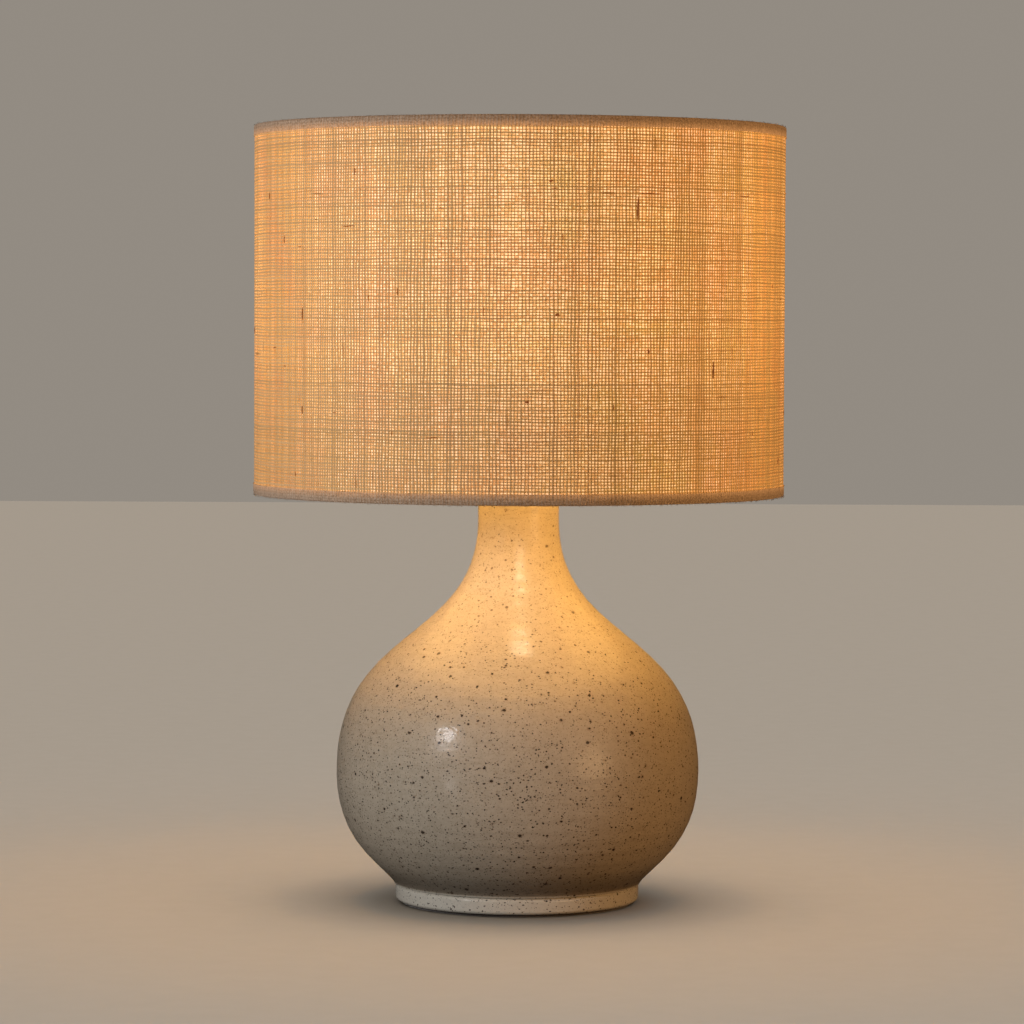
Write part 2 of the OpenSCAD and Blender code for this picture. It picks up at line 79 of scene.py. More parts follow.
# Heights between which the vessel's colour changes: the foot ring, paler partly in its own glaze
# and partly by painted light, ends; the painted shade in the groove over it starts and ends; the
# bare clay ends; and the specks get fewer and then paler
FOOT_TINT_AND_LIGHT_EDGE = (13.4 * MM, 14.2 * MM)
GROOVE_SHADE_START = (13.8 * MM, 14.8 * MM)
GROOVE_SHADE_END = (17 * MM, 34 * MM)
BARE_EDGE = (1.8 * MM, 2.6 * MM)
FEWER_SPECKS = (60 * MM, 190 * MM)
PALER_SPECKS = (150 * MM, 215 * MM)

# Weave of the shade: whole threads round it, the rise of one row, and the noise that makes a slub
WARP_THREADS = 496
WEFT_PITCH = 1.98 * MM
SLUB_EDGE = (0.72, 0.82)
CLOTH_ROWS = 24
CLOTH_SIDES = 360
LAP = 12 * MM
LAP_T = 0.45 * MM

# Hems: thickness, inner side, corner of the fold, and the slits for the spider's arms
HEM_T = 0.45 * MM
HEM_INNER_R = 171.6 * MM
HEM_CORNER = 1.5 * MM
HEM_SIDES = 720
LEG_GAP = 0.6 * MM
SLIT_DEPTH = 4.6 * MM
SLIT_HALF = 3.2 * MM
ARM_ANGLES = [math.radians(a) for a in (0, 120, 240)]

# Light that comes through the shade, as seen from outside. The inner layer of cloth gives more.
GAP_LIGHT = (0.87, 0.575, 0.35)
WARM_GAP_LIGHT = (0.88, 0.60, 0.32)
THREAD_LIGHT = (0.387, 0.182, 0.040)
RUST_LIGHT = (0.40, 0.146, 0.033)
GOLD_LIGHT = (0.366, 0.196, 0.034)
CROSSING_LIGHT = (0.175, 0.064, 0.010)
HEM_LIGHT = (0.36, 0.150, 0.045)
SLUB_LIGHT = (0.16, 0.045, 0.010)
INNER_GAIN = 1.45

# Shares of it far above or below the bulb, at the lower edge, and behind the lap
GLOW_FAR = 0.7
GLOW_LOW = 0.82
GLOW_LAP = 0.55

# Light inside the shade
INSIDE_LIGHT = (1.0, 0.57, 0.17)
INSIDE_GAIN = 2.1
BULB_COLOUR = (1.0, 0.56, 0.13)
BULB_WATTS = 0.98

# Studio: the wall as the camera sees it, what the room itself gives off, and the floor's own light
BACKDROP = (0.29, 0.26, 0.225, 1)
ROOM_GLOW = (0.022, 0.017, 0.013, 1)
FLOOR_HALF = 6.0
FLOOR_SUN = 2.0

# Camera: place, focal length and sensor width in mm, angle down and roll in degrees
CAMERA_PLACE = (-4.43 * MM, -2775.2 * MM, 393.44 * MM)
CAMERA_LENS = 145.07
CAMERA_SENSOR = 36
CAMERA_DOWN = 2.69
CAMERA_ROLL = 0.25


# ---------------------------------------------------------------- node graphs

def rgb(text):
    """A linear colour from an sRGB hex string."""
    parts = [int(text[i:i + 2], 16) / 255 for i in (1, 3, 5)]
    return tuple(c / 12.92 if c <= 0.04045 else ((c + 0.055) / 1.055) ** 2.4
                 for c in parts) + (1.0,)


def light(colour, share=1.0):
    """A linear colour with alpha, made brighter by a factor."""
    return tuple(c * share for c in colour) + (1.0,)


class Graph:
    """The node tree of one material, in object coordinates, which are the frame's own at rest."""

    def __init__(self, name):
        self.material = bpy.data.materials.new(name)
        self.material.use_nodes = True
        self.tree = self.material.node_tree
        self.tree.nodes.clear()
        self.place = self.node("TexCoord").outputs["Object"]
        self.x, self.y, self.z = self.node("SeparateXYZ", {0: self.place}).outputs

    def node(self, kind, inputs=None, **settings):
        """A new node with its settings. inputs holds sockets to link and values to set."""
        node = self.tree.nodes.new("ShaderNode" + kind)
        for key, value in settings.items():
            setattr(node, key, value)
        for key, value in (inputs or {}).items():
            if isinstance(value, bpy.types.NodeSocket):
                self.tree.links.new(value, node.inputs[key])
            else:
                node.inputs[key].default_value = value
        return node

    def math(self, operation, *values):
        return self.node("Math", dict(enumerate(values)), operation=operation).outputs[0]

    def add(self, a, b):
        return self.math("ADD", a, b)

    def mul(self, a, b):
        return self.math("MULTIPLY", a, b)

    def minus(self, a, b):
        return self.math("SUBTRACT", a, b)

    def ratio(self, a, b):
        return self.math("DIVIDE", a, b)

    def larger(self, a, b):
        return self.math("MAXIMUM", a, b)

    def magnitude(self, value):
        return self.math("ABSOLUTE", value)

    def mix(self, share, a, b):
        """A colour between two others."""
        return self.node("Mix", {0: share, 6: a, 7: b}, data_type="RGBA").outputs[2]

    def between(self, share, a, b):
        """A number between two others."""
        return self.node("Mix", {0: share, 2: a, 3: b}, data_type="FLOAT").outputs[0]

    def scaled(self, colour, factor):
        """A colour, made brighter or darker by a factor."""
        if isinstance(colour, tuple):
            colour = colour[:3]
        inputs = {0: colour, "Scale": factor}
        return self.node("VectorMath", inputs, operation="SCALE").outputs[0]

    def step(self, value, low, high, at_low=0.0, at_high=1.0):
        """Smoothly from at_low, up to low, to at_high, from high on."""
        inputs = {"Value": value, "From Min": low, "From Max": high,
                  "To Min": at_low, "To Max": at_high}
        return self.node("MapRange", inputs, interpolation_type="SMOOTHSTEP").outputs["Result"]

    def span(self, value, at_low, at_high):
        """A value from 0 to 1, spread between two others."""
        return self.math("MULTIPLY_ADD", value, at_high - at_low, at_low)

    def vector(self, x, y=0.0, z=0.0):
        return self.node("CombineXYZ", {0: x, 1: y, 2: z}).outputs[0]

    def stretched(self, x, y, z):
        """The place, with each axis multiplied by a factor."""
        inputs = {0: self.place, 1: (x, y, z)}
        return self.node("VectorMath", inputs, operation="MULTIPLY").outputs[0]

    def turn(self):
        """The angle round the axis in turns: 0 at the front, a half at the back."""
        return self.mul(self.math("ARCTAN2", self.x, self.mul(self.y, -1.0)), 0.5 / math.pi)

    def noise(self, size, detail=2.0, rough=0.5, place=None):
        """Smooth noise from 0 to 1, with features of a size in the place's own units."""
        inputs = {"Vector": place or self.place, "Scale": 1 / size, "Detail": detail,
                  "Roughness": rough}
        return self.node("TexNoise", inputs).outputs["Fac"]

    def cells(self, size, place=None):
        """Distance from the nearest cell's centre, in cells, and a random colour for each cell."""
        node = self.node("TexVoronoi", {"Vector": place or self.place, "Scale": 1 / size})
        return node.outputs["Distance"], node.outputs["Color"]

    def random(self, number, seed):
        """A random number from 0 to 1 for each whole number."""
        inputs = {"Vector": self.vector(number, seed)}
        return self.node("TexWhiteNoise", inputs, noise_dimensions="2D").outputs["Value"]

    def bump(self, height, depth, normal=None):
        """The normal of a surface whose height from 0 to 1 stands for a depth in metres."""
        inputs = {"Height": height, "Distance": depth}
        if normal is not None:
            inputs["Normal"] = normal
        return self.node("Bump", inputs).outputs["Normal"]

    def surface(self, **inputs):
        """Ends the material with a Principled shader. Underscores in inputs stand for spaces."""
        named = {key.replace("_", " "): value for key, value in inputs.items()}
        shader = self.node("BsdfPrincipled", named)
        self.node("OutputMaterial", {"Surface": shader.outputs[0]})
        return self.material


# ---------------------------------------------------------------- materials

# Specks in the glaze: cell size, share of cells that hold one, smallest and largest radius in
# cells, and how dark
SPECKS = [
    (9.0 * MM, 0.32, 0.100, 0.170, 1.0),
    (4.6 * MM, 0.52, 0.120, 0.195, 1.0),
    (2.7 * MM, 0.62, 0.165, 0.280, 1.0),
    (1.8 * MM, 0.50, 0.180, 0.270, 0.85),
]
SMALLEST_WITH_HALO = 4 * MM


def wandering(g, flattened):
    """The place, shifted by noise, so that no speck is round."""
    inputs = {"Vector": g.place, "Scale": 1 / (0.9 * MM), "Detail": 2.0}
    wander = g.node("TexNoise", inputs).outputs["Color"]
    shift = g.node("VectorMath", {0: wander, 1: (-0.5,) * 3}, operation="ADD").outputs[0]
    shift = g.scaled(shift, 1.4 * MM)
    return g.node("VectorMath", {0: flattened, 1: shift}, operation="ADD").outputs[0]


def add_specks(g, colour, place):
    """Iron specks of several sizes, the large ones with a rusty halo. Returns the new colour and
    how dark the specks are."""
    crowd = g.add(g.span(g.noise(26 * MM, 3, 0.6), 0.35, 1.65),
                  g.step(g.z, *FEWER_SPECKS, 0.15, -0.42))
    dark = None
    for cell_size, share, small, large, depth in SPECKS:
        distance, cell = g.cells(cell_size, place)
        chance, width, tone = g.node("SeparateColor", {0: cell}).outputs
        held = g.math("LESS_THAN", chance, g.mul(crowd, share))
        reach = g.ratio(distance, g.span(g.math("POWER", width, 1.5), small, large))
        inside = g.mul(g.step(reach, 0.82, 1.06, 1.0, 0.0), held)
        inside = g.mul(inside, g.span(tone, 0.88 * depth, depth))
        dark = inside if dark is None else g.larger(dark, inside)
        if cell_size > SMALLEST_WITH_HALO:
            halo = g.mul(g.step(reach, 0.9, 1.7, 0.35, 0.0), held)
            colour = g.mix(halo, colour, rgb("#7d5634"))
    dark = g.mul(dark, g.step(g.z, *PALER_SPECKS, 1.0, 0.62))
    return g.mix(dark, colour, rgb("#1a0b03")), dark


def stoneware():
    """Cream-grey glaze over iron-specked clay, with pits, orange peel and faint throwing lines."""
    g = Graph("stoneware")
    cloud = g.noise(38 * MM, 4, 0.6)
    mottle = g.noise(6 * MM, 3, 0.6)
    colour = g.mix(cloud, rgb("#c8bca8"), rgb("#bdb09b"))
    colour = g.mix(g.step(mottle, 0.35, 0.75, 0.0, 0.35), colour, rgb("#a89a85"))
    streaks = g.noise(7 * MM, 3, 0.6, g.stretched(0.5, 0.5, 4.0))
    colour = g.mix(g.step(streaks, 0.50, 0.80, 0.0, 0.30), colour, rgb("#9c8c75"))

    flattened = g.stretched(1.0, 1.0, 1.25)
    flecks = g.step(g.noise(1.3 * MM, 4, 0.75, flattened), 0.555, 0.64, 0.0, 0.55)
    flecks = g.mul(flecks, g.span(g.noise(14 * MM, 2), 0.4, 1.4))
    colour = g.mix(flecks, colour, rgb("#6b5138"))
    pale = g.step(g.noise(4.5 * MM, 3, 0.6), 0.58, 0.74, 0.0, 0.22)
    colour = g.mix(pale, colour, rgb("#d8cfbe"))
    colour, dark = add_specks(g, colour, wandering(g, flattened))

    # The foot ring is painted paler and greener: partly its own glaze, partly painted light.
    foot = g.step(g.z, *FOOT_TINT_AND_LIGHT_EDGE, 1.0, 0.0)
    colour = g.mix(g.mul(foot, g.mul(g.minus(1.0, dark), 0.40)), colour, rgb("#e4e7e0"))
    # Painted shade: the groove over the foot and the underside of the belly above it are painted
    # dark.
    groove_shade = g.mul(g.step(g.z, *GROOVE_SHADE_START), g.step(g.z, *GROOVE_SHADE_END, 0.58, 0.0))
    colour = g.mix(groove_shade, colour, rgb("#3a3025"))
    wavy_z = g.add(g.z, g.mul(g.noise(9 * MM, 2), 1.5 * MM))
    bare = g.step(wavy_z, *BARE_EDGE, 1.0, 0.0)
    colour = g.mix(bare, colour, rgb("#8d7860"))

    peel = g.noise(3.1 * MM, 2, 0.5)
    fine = g.noise(1.1 * MM, 2, 0.6)
    lines = g.noise(5 * MM, 2, 0.5, g.stretched(0.12, 0.12, 2.2))
    pits = g.step(g.noise(1.5 * MM, 1), 0.24, 0.36, 0.0, 1.0)
    normal = g.bump(peel, 0.17 * MM)
    normal = g.bump(fine, 0.03 * MM, normal)
    normal = g.bump(lines, 0.05 * MM, normal)
    normal = g.bump(g.mul(pits, g.minus(1.0, g.mul(dark, 0.6))), 0.035 * MM, normal)
    rough = g.add(g.span(g.noise(4 * MM, 3), 0.52, 0.68), g.mul(bare, 0.25))
    coat = g.mul(g.minus(1.0, bare), 0.36)
    return g.surface(Base_Color=colour, Roughness=rough, Normal=normal, Specular_IOR_Level=0.35,
                     Coat_Weight=coat, Coat_Roughness=0.15, Coat_Normal=normal)


Threads = namedtuple("Threads", "number line cover top tone slub hue")
Weave = namedtuple("Weave", "across up warp weft share")


def threads(g, along, over, place, seed, band, band_depth):
    """One set of the linen's threads: along counts them, and over runs lengthwise. Returns the
    thread's number, the wandering count it comes from, cover, round top, tone, slubs and hue."""
    drift = g.noise(1.0, 2, 0.5, g.vector(g.mul(along, 0.22), g.mul(over, 0.05), seed))
    jitter = g.noise(1.0, 1, 0.5, g.vector(g.mul(along, 0.8), g.mul(over, 0.02), seed + 3.0))
    line = g.add(g.add(along, g.mul(g.add(drift, -0.5), 1.0)), g.mul(g.add(jitter, -0.5), 0.35))
    number = g.math("FLOOR", line)
    offset = g.magnitude(g.add(g.math("FRACT", line), -0.5))
    own = g.random(number, seed)
    uneven = g.noise(1.0, 3, 0.6, g.vector(g.mul(number, 7.31), g.mul(over, 0.13), seed))
    bands = g.noise(1.0, 3, 0.6, g.vector(g.mul(along, band), g.mul(over, 0.007), seed + 5.0))
    half = g.add(g.span(own, 0.17, 0.31), g.span(uneven, -0.17, 0.17))
    half = g.add(half, g.span(bands, -band_depth, band_depth))
    slub = g.noise(1.0, 1, 0.5, g.vector(g.mul(number, 3.17), g.mul(over, 0.05), seed + 9.0))
    half = g.add(half, g.step(slub, *SLUB_EDGE, 0.0, 0.14))
    fuzz = g.mul(g.add(g.noise(0.18, 2, 0.6, place), -0.5), 0.12)
    cover = g.step(g.add(g.minus(half, offset), fuzz), -0.035, 0.055)
    from_middle = g.math("POWER", g.ratio(offset, g.larger(half, 0.05)), 2.0)
    top = g.math("SQRT", g.larger(g.minus(1.0, from_middle), 0.0))
    tone = g.add(g.mul(g.random(number, seed + 20.0), 0.55), g.mul(uneven, 0.45))
    tone = g.add(tone, g.span(bands, 1.5 * band_depth, -1.5 * band_depth))
    hue = g.step(g.random(number, seed + 40.0), 0.55, 0.95)
    return Threads(number, line, cover, top, tone, slub, hue)


def weave(g):
    """The shade's linen: threads counted round and up, warp and weft, and the warp's share of what
    they cover."""
    across = g.mul(g.turn(), WARP_THREADS)
    up = g.mul(g.z, 1 / WEFT_PITCH)
    place = g.vector(across, up, 0.0)
    warp = threads(g, across, up, place, 1.0, 0.12, 0.17)
    weft = threads(g, up, across, place, 2.0, 0.16, 0.10)
    share = g.ratio(warp.cover, g.larger(g.add(warp.cover, weft.cover), 0.01))
    return Weave(across, up, warp, weft, share)


def woven_height(g, warp, weft):
    """Height of the cloth from 0 to 1: each thread goes over and under the ones it crosses."""
    over = g.math("SINE", g.mul(g.add(weft.line, warp.number), math.pi))
    under = g.math("SINE", g.mul(g.add(warp.line, weft.number), -math.pi))
    return g.larger(g.mul(warp.top, g.span(over, 0.62, 1.0)),
                    g.mul(weft.top, g.span(under, 0.62, 1.0)))


def haze(g, warp, weft):
    """How much each hole of the weave is crossed by loose fibres."""
    column = g.math("FLOOR", g.add(warp.line, 0.5))
    row = g.math("FLOOR", g.add(weft.line, 0.5))
    return g.mul(g.step(g.random(column, row), 0.30, 1.0), g.span(g.noise(30 * MM, 2), 0.15, 0.40))


def golden(g, across, up):
    """Share of golden light, in patches, with less of it away from a place right of the front."""
    patch = g.noise(1.0, 2, 0.5, g.vector(g.mul(across, 0.045), g.mul(up, 0.05), 14.0))
    near = g.step(g.magnitude(g.add(g.turn(), -0.075)), 0.045, 0.100, 1.0, 0.25)
    return g.mul(g.step(patch, 0.50, 0.66), near)


def glow(g):
    """How bright the shade is at this height, next to the height of the bulb."""
    rise = g.mul(g.add(g.z, -BULB_Z), 1 / CLOTH_R)
    fall = g.math("POWER", g.add(g.mul(rise, rise), 1.0), -1.5)
    cloud = g.span(g.noise(60 * MM, 2), -0.05, 0.05)
    lower = g.step(g.z, cloth_low[2], BULB_Z, GLOW_LOW, 1.0)
    return g.mul(g.add(g.span(fall, GLOW_FAR, 1.0), cloud), lower)


def lap_shadow(g):
    """Less light where the cloth lies double, at the back."""
    half = 0.5 * LAP / (2 * math.pi * CLOTH_R)
    return g.step(g.magnitude(g.turn()), 0.5 - half * 1.12, 0.5 - half * 0.95, 1.0, GLOW_LAP)


def linen(name, gain):
    """Open plain weave. Its gaps show the lit lining behind it, and its threads glow a little."""
    g = Graph(name)
    across, up, warp, weft, share = weave(g)
    tone = g.between(share, weft.tone, warp.tone)
    hue = g.between(share, weft.hue, warp.hue)
    slub = g.larger(g.mul(warp.cover, g.step(warp.slub, *SLUB_EDGE)),
                    g.mul(weft.cover, g.step(weft.slub, *SLUB_EDGE)))
    patch = g.noise(1.0, 2, 0.5, g.vector(g.mul(across, 0.06), g.mul(up, 0.03), 4.0))
    rust = g.larger(g.step(patch, 0.48, 0.66), g.mul(g.add(hue, slub), 0.8))
    cover = g.larger(g.larger(warp.cover, weft.cover), haze(g, warp, weft))
    fibre = g.noise(0.16 * MM, 3, 0.7)

    shine = g.mix(g.mul(golden(g, across, up), 0.7), light(THREAD_LIGHT), light(GOLD_LIGHT))
    shine = g.mix(g.mul(rust, 0.7), shine, light(RUST_LIGHT))
    shine = g.mix(g.mul(warp.cover, weft.cover), shine, light(CROSSING_LIGHT))
    shine = g.mix(g.mul(slub, 0.5), shine, light(CROSSING_LIGHT))
    own = g.add(g.span(tone, 0.60, 1.40), g.span(fibre, -0.16, 0.16))
    shine = g.scaled(shine, g.mul(g.mul(glow(g), lap_shadow(g)), own))

    colour = g.mix(tone, rgb("#c8a97c"), rgb("#e2c69c"))
    colour = g.mix(g.mul(slub, 0.7), colour, rgb("#7d5a38"))
    normal = g.bump(woven_height(g, warp, weft), 0.35 * MM)
    normal = g.bump(fibre, 0.04 * MM, normal)
    return g.surface(Base_Color=colour, Roughness=g.span(fibre, 0.75, 0.95), Normal=normal,
                     Alpha=cover, Emission_Color=shine, Emission_Strength=gain,
                     Sheen_Weight=0.15, Sheen_Roughness=0.5, Specular_IOR_Level=0.2)


def shade_liner():
    """White styrene film, lit from behind. Its inner side is bright, and lights the neck."""
    g = Graph("shade_liner")
    grain = g.noise(1.6 * MM, 3, 0.6)
    amount = g.mul(g.mul(glow(g), lap_shadow(g)), g.span(grain, 0.93, 1.07))
    warm = g.step(g.noise(45 * MM, 2), 0.35, 0.65)
    shine = g.mix(warm, light(GAP_LIGHT), light(WARM_GAP_LIGHT))
    reach = g.math("SQRT", g.add(g.mul(g.x, g.x), g.mul(g.y, g.y)))
    inner = g.step(reach, LINER_R - 0.4 * MM, LINER_R - 0.1 * MM, 1.0, 0.0)
    shine = g.mix(inner, shine, light(INSIDE_LIGHT, INSIDE_GAIN))
    colour = g.mix(grain, rgb("#efe6d4"), rgb("#e4d8c1"))
    normal = g.bump(g.noise(12 * MM, 2), 0.2 * MM)
    return g.surface(Base_Color=colour, Roughness=g.span(grain, 0.42, 0.6), Normal=normal,
                     Emission_Color=g.scaled(shine, amount), Emission_Strength=1.0)


def hem_linen():
    """The same linen folded over the wire: two layers, dull at the fold, lit near the cloth."""
    g = Graph("hem_linen")
    cloth = weave(g)
    warp, weft = cloth.warp, cloth.weft
    tone = g.between(cloth.share, weft.tone, warp.tone)
    from_fold = g.math("MINIMUM", g.magnitude(g.add(g.z, -HEM_TOP)),
                       g.magnitude(g.add(g.z, -HEM_BOTTOM)))
    wander = g.mul(g.add(g.noise(6 * MM, 2), -0.5), 2.0 * MM)
    lit = g.step(g.add(from_fold, wander), 0.30 * HEM_H, 1.05 * HEM_H)
    fibre = g.noise(0.2 * MM, 3, 0.7)
    gap = g.minus(1.0, g.larger(warp.cover, g.mul(weft.cover, 0.35)))
    crossing = g.mul(warp.cover, weft.cover)
    value = g.add(g.span(tone, -0.08, 0.16), g.span(fibre, -0.25, 0.40))
    grain = g.span(g.noise(1.2 * MM, 3, 0.75), -0.55, 1.45)
    value = g.add(value, g.add(g.mul(crossing, 0.15), grain))
    colour = g.mix(g.step(value, 0.10, 1.10), rgb("#8b755f"), rgb("#e4d1ba"))
    # Painted shade: the gaps between the threads are painted darker.
    colour = g.mix(g.mul(gap, 0.30), colour, rgb("#6a4f3b"))
    through = g.add(g.span(gap, 0.85, 1.35), g.mul(crossing, -0.2))
    through = g.mul(g.mul(glow(g), g.span(lit, 0.28, 1.0)), through)
    shine = g.scaled(light(HEM_LIGHT), g.mul(through, g.span(value, 0.7, 1.3)))
    normal = g.bump(g.add(g.mul(warp.cover, 0.5), g.mul(fibre, 0.5)), 0.25 * MM)
    return g.surface(Base_Color=colour, Roughness=g.span(fibre, 0.8, 0.98), Normal=normal,
                     Emission_Color=shine, Emission_Strength=1.0,
                     Sheen_Weight=0.25, Sheen_Roughness=0.5, Specular_IOR_Level=0.15)


def slub_fibre():
    """Thick twisted fibre: dark against the light of the shade."""
    g = Graph("slub_fibre")
    fibre = g.noise(0.25 * MM, 3, 0.7)
    colour = g.mix(fibre, rgb("#5d3418"), rgb("#8b5a2f"))
    shine = g.scaled(light(SLUB_LIGHT), g.span(fibre, 0.5, 1.6))
    normal = g.bump(fibre, 0.12 * MM)
    return g.surface(Base_Color=colour, Roughness=0.9, Normal=normal,
                     Emission_Color=shine, Emission_Strength=1.0, Specular_IOR_Level=0.15)


def fuzz_fibre():
    """Loose hairs along the hems."""
    g = Graph("fuzz_fibre")
    tone = g.noise(1.5 * MM, 2)
    return g.surface(Base_Color=g.mix(tone, rgb("#a48c6e"), rgb("#d8c5a6")), Roughness=0.9,
                     Sheen_Weight=0.3, Specular_IOR_Level=0.2)


def felt():
    """Dark wool felt, tufted."""
    g = Graph("felt")
    hair = g.noise(0.5 * MM, 4, 0.8)
    tuft = g.noise(2.5 * MM, 3, 0.7)
    colour = g.mix(hair, rgb("#1d1915"), rgb("#4a4037"))
    colour = g.mix(g.step(tuft, 0.5, 0.8, 0.0, 0.4), colour, rgb("#352d26"))
    normal = g.bump(g.add(g.mul(hair, 0.7), g.mul(tuft, 0.3)), 0.35 * MM)
    return g.surface(Base_Color=colour, Roughness=g.span(hair, 0.88, 1.0), Normal=normal,
                     Sheen_Weight=0.6, Sheen_Roughness=0.6, Specular_IOR_Level=0.1)


def rubber(name):
    """Black rubber, dusty in patches."""
    g = Graph(name)
    grain = g.noise(0.4 * MM, 3, 0.7)
    dust = g.step(g.noise(5 * MM, 3), 0.5, 0.8, 0.0, 0.35)
    colour = g.mix(dust, rgb("#191715"), rgb("#3b352e"))
    normal = g.bump(grain, 0.03 * MM)
    return g.surface(Base_Color=colour, Roughness=g.span(grain, 0.55, 0.8), Normal=normal)


def metal(name, bright, dull, smooth, coarse, tarnish=0.5, brushed=(1.0, 1.0, 1.0)):
    """Metal with tarnish in patches. Its fine scratches run along the axis that has the smallest
    factor in brushed."""
    g = Graph(name)
    patch = g.noise(7 * MM, 4, 0.65)
    spots = g.step(g.noise(1.3 * MM, 3, 0.7), 0.58, 0.78)
    worn = g.step(g.add(g.mul(patch, 0.75), g.mul(spots, 0.25)), 0.40, 0.75, 0.0, tarnish)
    scratch = g.noise(0.35 * MM, 2, 0.6, g.stretched(*brushed))
    normal = g.bump(scratch, 0.010 * MM)
    normal = g.bump(g.noise(1.6 * MM, 2), 0.012 * MM, normal)
    rough = g.add(g.span(scratch, smooth, coarse), g.mul(worn, 0.2))
    colour = g.mix(worn, rgb(bright), rgb(dull))
    return g.surface(Base_Color=colour, Metallic=1.0, Roughness=rough, Normal=normal)


def kraft_board():
    """Brown pressed board, its fibres mostly upright."""
    g = Graph("kraft_board")
    fibre = g.noise(2.0 * MM, 4, 0.75, g.stretched(1.0, 1.0, 0.25))
    colour = g.mix(fibre, rgb("#6d5233"), rgb("#a58358"))
    return g.surface(Base_Color=colour, Roughness=0.9, Normal=g.bump(fibre, 0.05 * MM))


def switch_porcelain():
    """Off-white glazed porcelain."""
    g = Graph("switch_porcelain")
    tone = g.noise(3 * MM, 3)
    colour = g.mix(tone, rgb("#e9e2d3"), rgb("#d5cab4"))
    normal = g.bump(g.noise(1.2 * MM, 2), 0.03 * MM)
    return g.surface(Base_Color=colour, Roughness=g.span(tone, 0.25, 0.45), Normal=normal,
                     Coat_Weight=0.4, Coat_Roughness=0.1)


def key_bakelite():
    """Dark brown moulded bakelite, faintly swirled, rubbed by fingers."""
    g = Graph("key_bakelite")
    swirl = g.noise(3.5 * MM, 4, 0.65)
    wear = g.noise(0.5 * MM, 3, 0.7)
    colour = g.mix(swirl, rgb("#1d120c"), rgb("#3a2416"))
    normal = g.bump(wear, 0.012 * MM)
    return g.surface(Base_Color=colour, Roughness=g.span(wear, 0.22, 0.42), Normal=normal,
                     Coat_Weight=0.3, Coat_Roughness=0.15)


def clear_glass(name, tint):
    """Blown glass, faintly uneven."""
    g = Graph(name)
    cloud = g.noise(9 * MM, 3, 0.6)
    colour = g.mix(cloud, rgb(tint), rgb("#fffaf0"))
    normal = g.bump(g.noise(14 * MM, 2), 0.12 * MM)
    return g.surface(Base_Color=colour, Roughness=g.span(cloud, 0.01, 0.06), Normal=normal,
                     Transmission_Weight=1.0, IOR=1.46)


def filament():
    """Lit strands, coated in phosphor."""
    g = Graph("filament")
    grain = g.noise(0.5 * MM, 2)
    colour = g.mix(grain, rgb("#e8a545"), rgb("#f2c069"))
    shine = g.mix(grain, light((1.0, 0.56, 0.20), 14.0), light((1.0, 0.66, 0.30), 20.0))
    return g.surface(Base_Color=colour, Roughness=0.7, Emission_Color=shine, Emission_Strength=1.0)


def bulb_vitrite():
    """The black glass between the bulb's contacts."""
    g = Graph("bulb_vitrite")
    swirl = g.noise(2 * MM, 3)
    colour = g.mix(swirl, rgb("#15131c"), rgb("#2b2838"))
    normal = g.bump(g.noise(1.0 * MM, 2), 0.02 * MM)
    return g.surface(Base_Color=colour, Roughness=g.span(swirl, 0.08, 0.2), Normal=normal)


# Directions of scratches: round the axis, and along it
ROUND = (0.15, 0.15, 3.0)
ALONG_Z = (3.0, 3.0, 0.2)

# One material for each of the material slots of the CAD nodes
MATERIALS = {
    "stoneware": stoneware(),
    "felt": felt(),
    "grommet_rubber": rubber("grommet_rubber"),
    "washer_rubber": rubber("washer_rubber"),
    "zinc_steel": metal("zinc_steel", "#b9bcbd", "#7d7f80", 0.25, 0.42),
    "antique_brass": metal("antique_brass", "#a9854a", "#54401f", 0.26, 0.44, 0.75, ROUND),
    "kraft_board": kraft_board(),
    "switch_porcelain": switch_porcelain(),
    "contact_brass": metal("contact_brass", "#cfae62", "#8f7136", 0.20, 0.36),
    "key_bakelite": key_bakelite(),
    "bulb_glass": clear_glass("bulb_glass", "#fff1dc"),
    "stem_glass": clear_glass("stem_glass", "#f4f8f6"),
    "filament": filament(),
    "bulb_nickel": metal("bulb_nickel", "#c2c2bd", "#8b8a84", 0.16, 0.32, 0.4, ROUND),
    "bulb_vitrite": bulb_vitrite(),
    "bulb_solder": metal("bulb_solder", "#b4b6b8", "#77797b", 0.30, 0.50),
    "nickel_wire": metal("nickel_wire", "#c6c5bf", "#8e8c85", 0.18, 0.34, 0.5, ALONG_Z),
    "shade_liner": shade_liner(),
    "linen": linen("linen", 1.0),
    "hem_linen": hem_linen(),
}


def dress_cad_nodes():
    """Gives each CAD node the material of the slot that its packed one is named after."""
    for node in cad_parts.values():
        for slot in node.material_slots:
            slot.material = MATERIALS[slot.material.name.split(".")[0]]


# ---------------------------------------------------------------- mesh helpers

def piece(name, points, faces, material, sharp_above=None):
    """A smooth-shaded mesh object at the origin, with its normals outward."""
    mesh = bpy.data.meshes.new(name)
    mesh.from_pydata([tuple(p) for p in points], [], faces)
    work = bmesh.new()
    work.from_mesh(mesh)
    bmesh.ops.recalc_face_normals(work, faces=work.faces)
    work.to_mesh(mesh)
    work.free()
    mesh.polygons.foreach_set("use_smooth", [True] * len(mesh.polygons))
    if sharp_above is not None:
        mesh.set_sharp_from_angle(angle=math.radians(sharp_above))
    mesh.materials.append(material)
    thing = bpy.data.objects.new(name, mesh)
    bpy.context.scene.collection.objects.link(thing)
    return thing


def finish_piece(thing, body, slot, *nodes):
    """Rides a piece on its body and hides the CAD nodes that it stands for. The slot is not used.
    """
    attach(thing, body)
    if nodes:
        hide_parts(*nodes)
    return thing


def around(a, r, z):
    """A point at an angle to the right of the front."""
    return r * math.sin(a), -r * math.cos(a), z


def turned(rings, sides, offset):
    """Points of a closed section turned round the axis, each moved out by offset(angle, r, z)."""
    points = []
    for r, z in rings:
        for j in range(sides):
            a = 2 * math.pi * j / sides
            points.append(around(a, r + offset(a, r, z), z))
    return points


